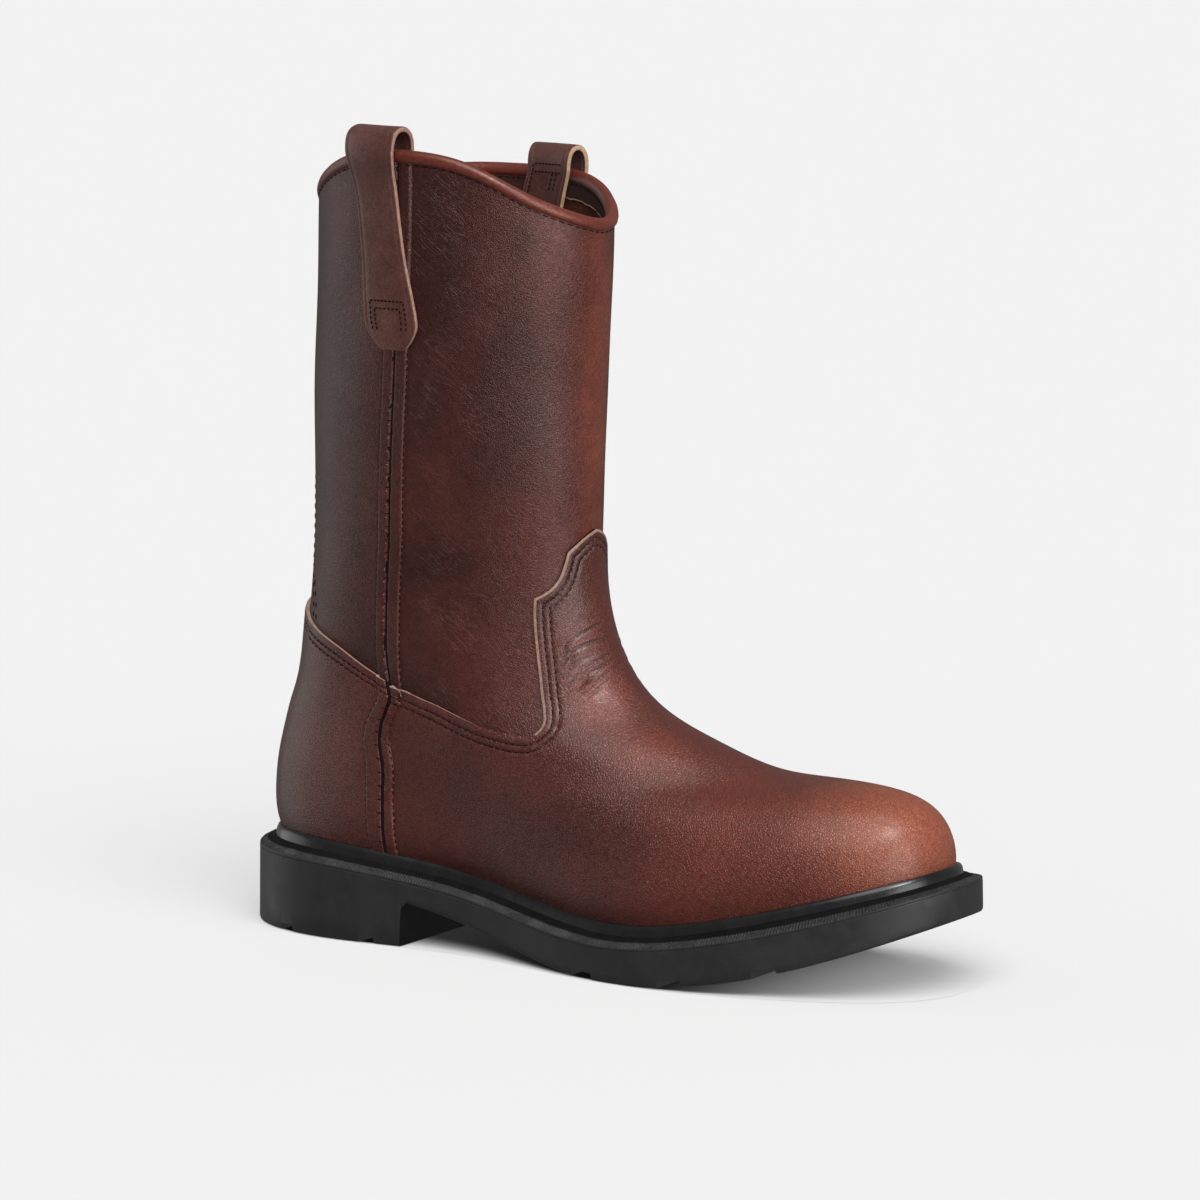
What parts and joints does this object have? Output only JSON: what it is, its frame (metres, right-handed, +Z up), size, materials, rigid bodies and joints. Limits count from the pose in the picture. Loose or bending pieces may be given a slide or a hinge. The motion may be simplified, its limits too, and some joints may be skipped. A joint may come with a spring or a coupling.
{
  "type": "pull-on boot",
  "caption": "Tall pull-on leather work boot for the right foot, with a scalloped collar, pull straps, a stepped vamp and a rubber sole with a moulded heel.",
  "frame": {"origin": "centre of the boot's bounding box, at floor level under the sole", "axes": "+X toward the toe, +Y toward the inner side of the foot, +Z up"},
  "size_m": [0.3092, 0.1107, 0.3179],
  "materials": {
    "shaft_leather": "oiled",
    "vamp_leather": "oiled",
    "strap_leather": "oiled",
    "sole_rubber": "matte",
    "insole_board": "matte"
  },
  "bodies": {
    "root": {"outsole": "sole_rubber", "welt": "sole_rubber", "insole": "insole_board", "upper": "shaft_leather", "vamp": "vamp_leather", "counter": "shaft_leather", "side_seam_lateral": "shaft_leather", "side_seam_medial": "shaft_leather", "collar_binding": "vamp_leather", "pull_strap_lateral": "strap_leather", "pull_strap_medial": "strap_leather"}
  },
  "joints": []
}
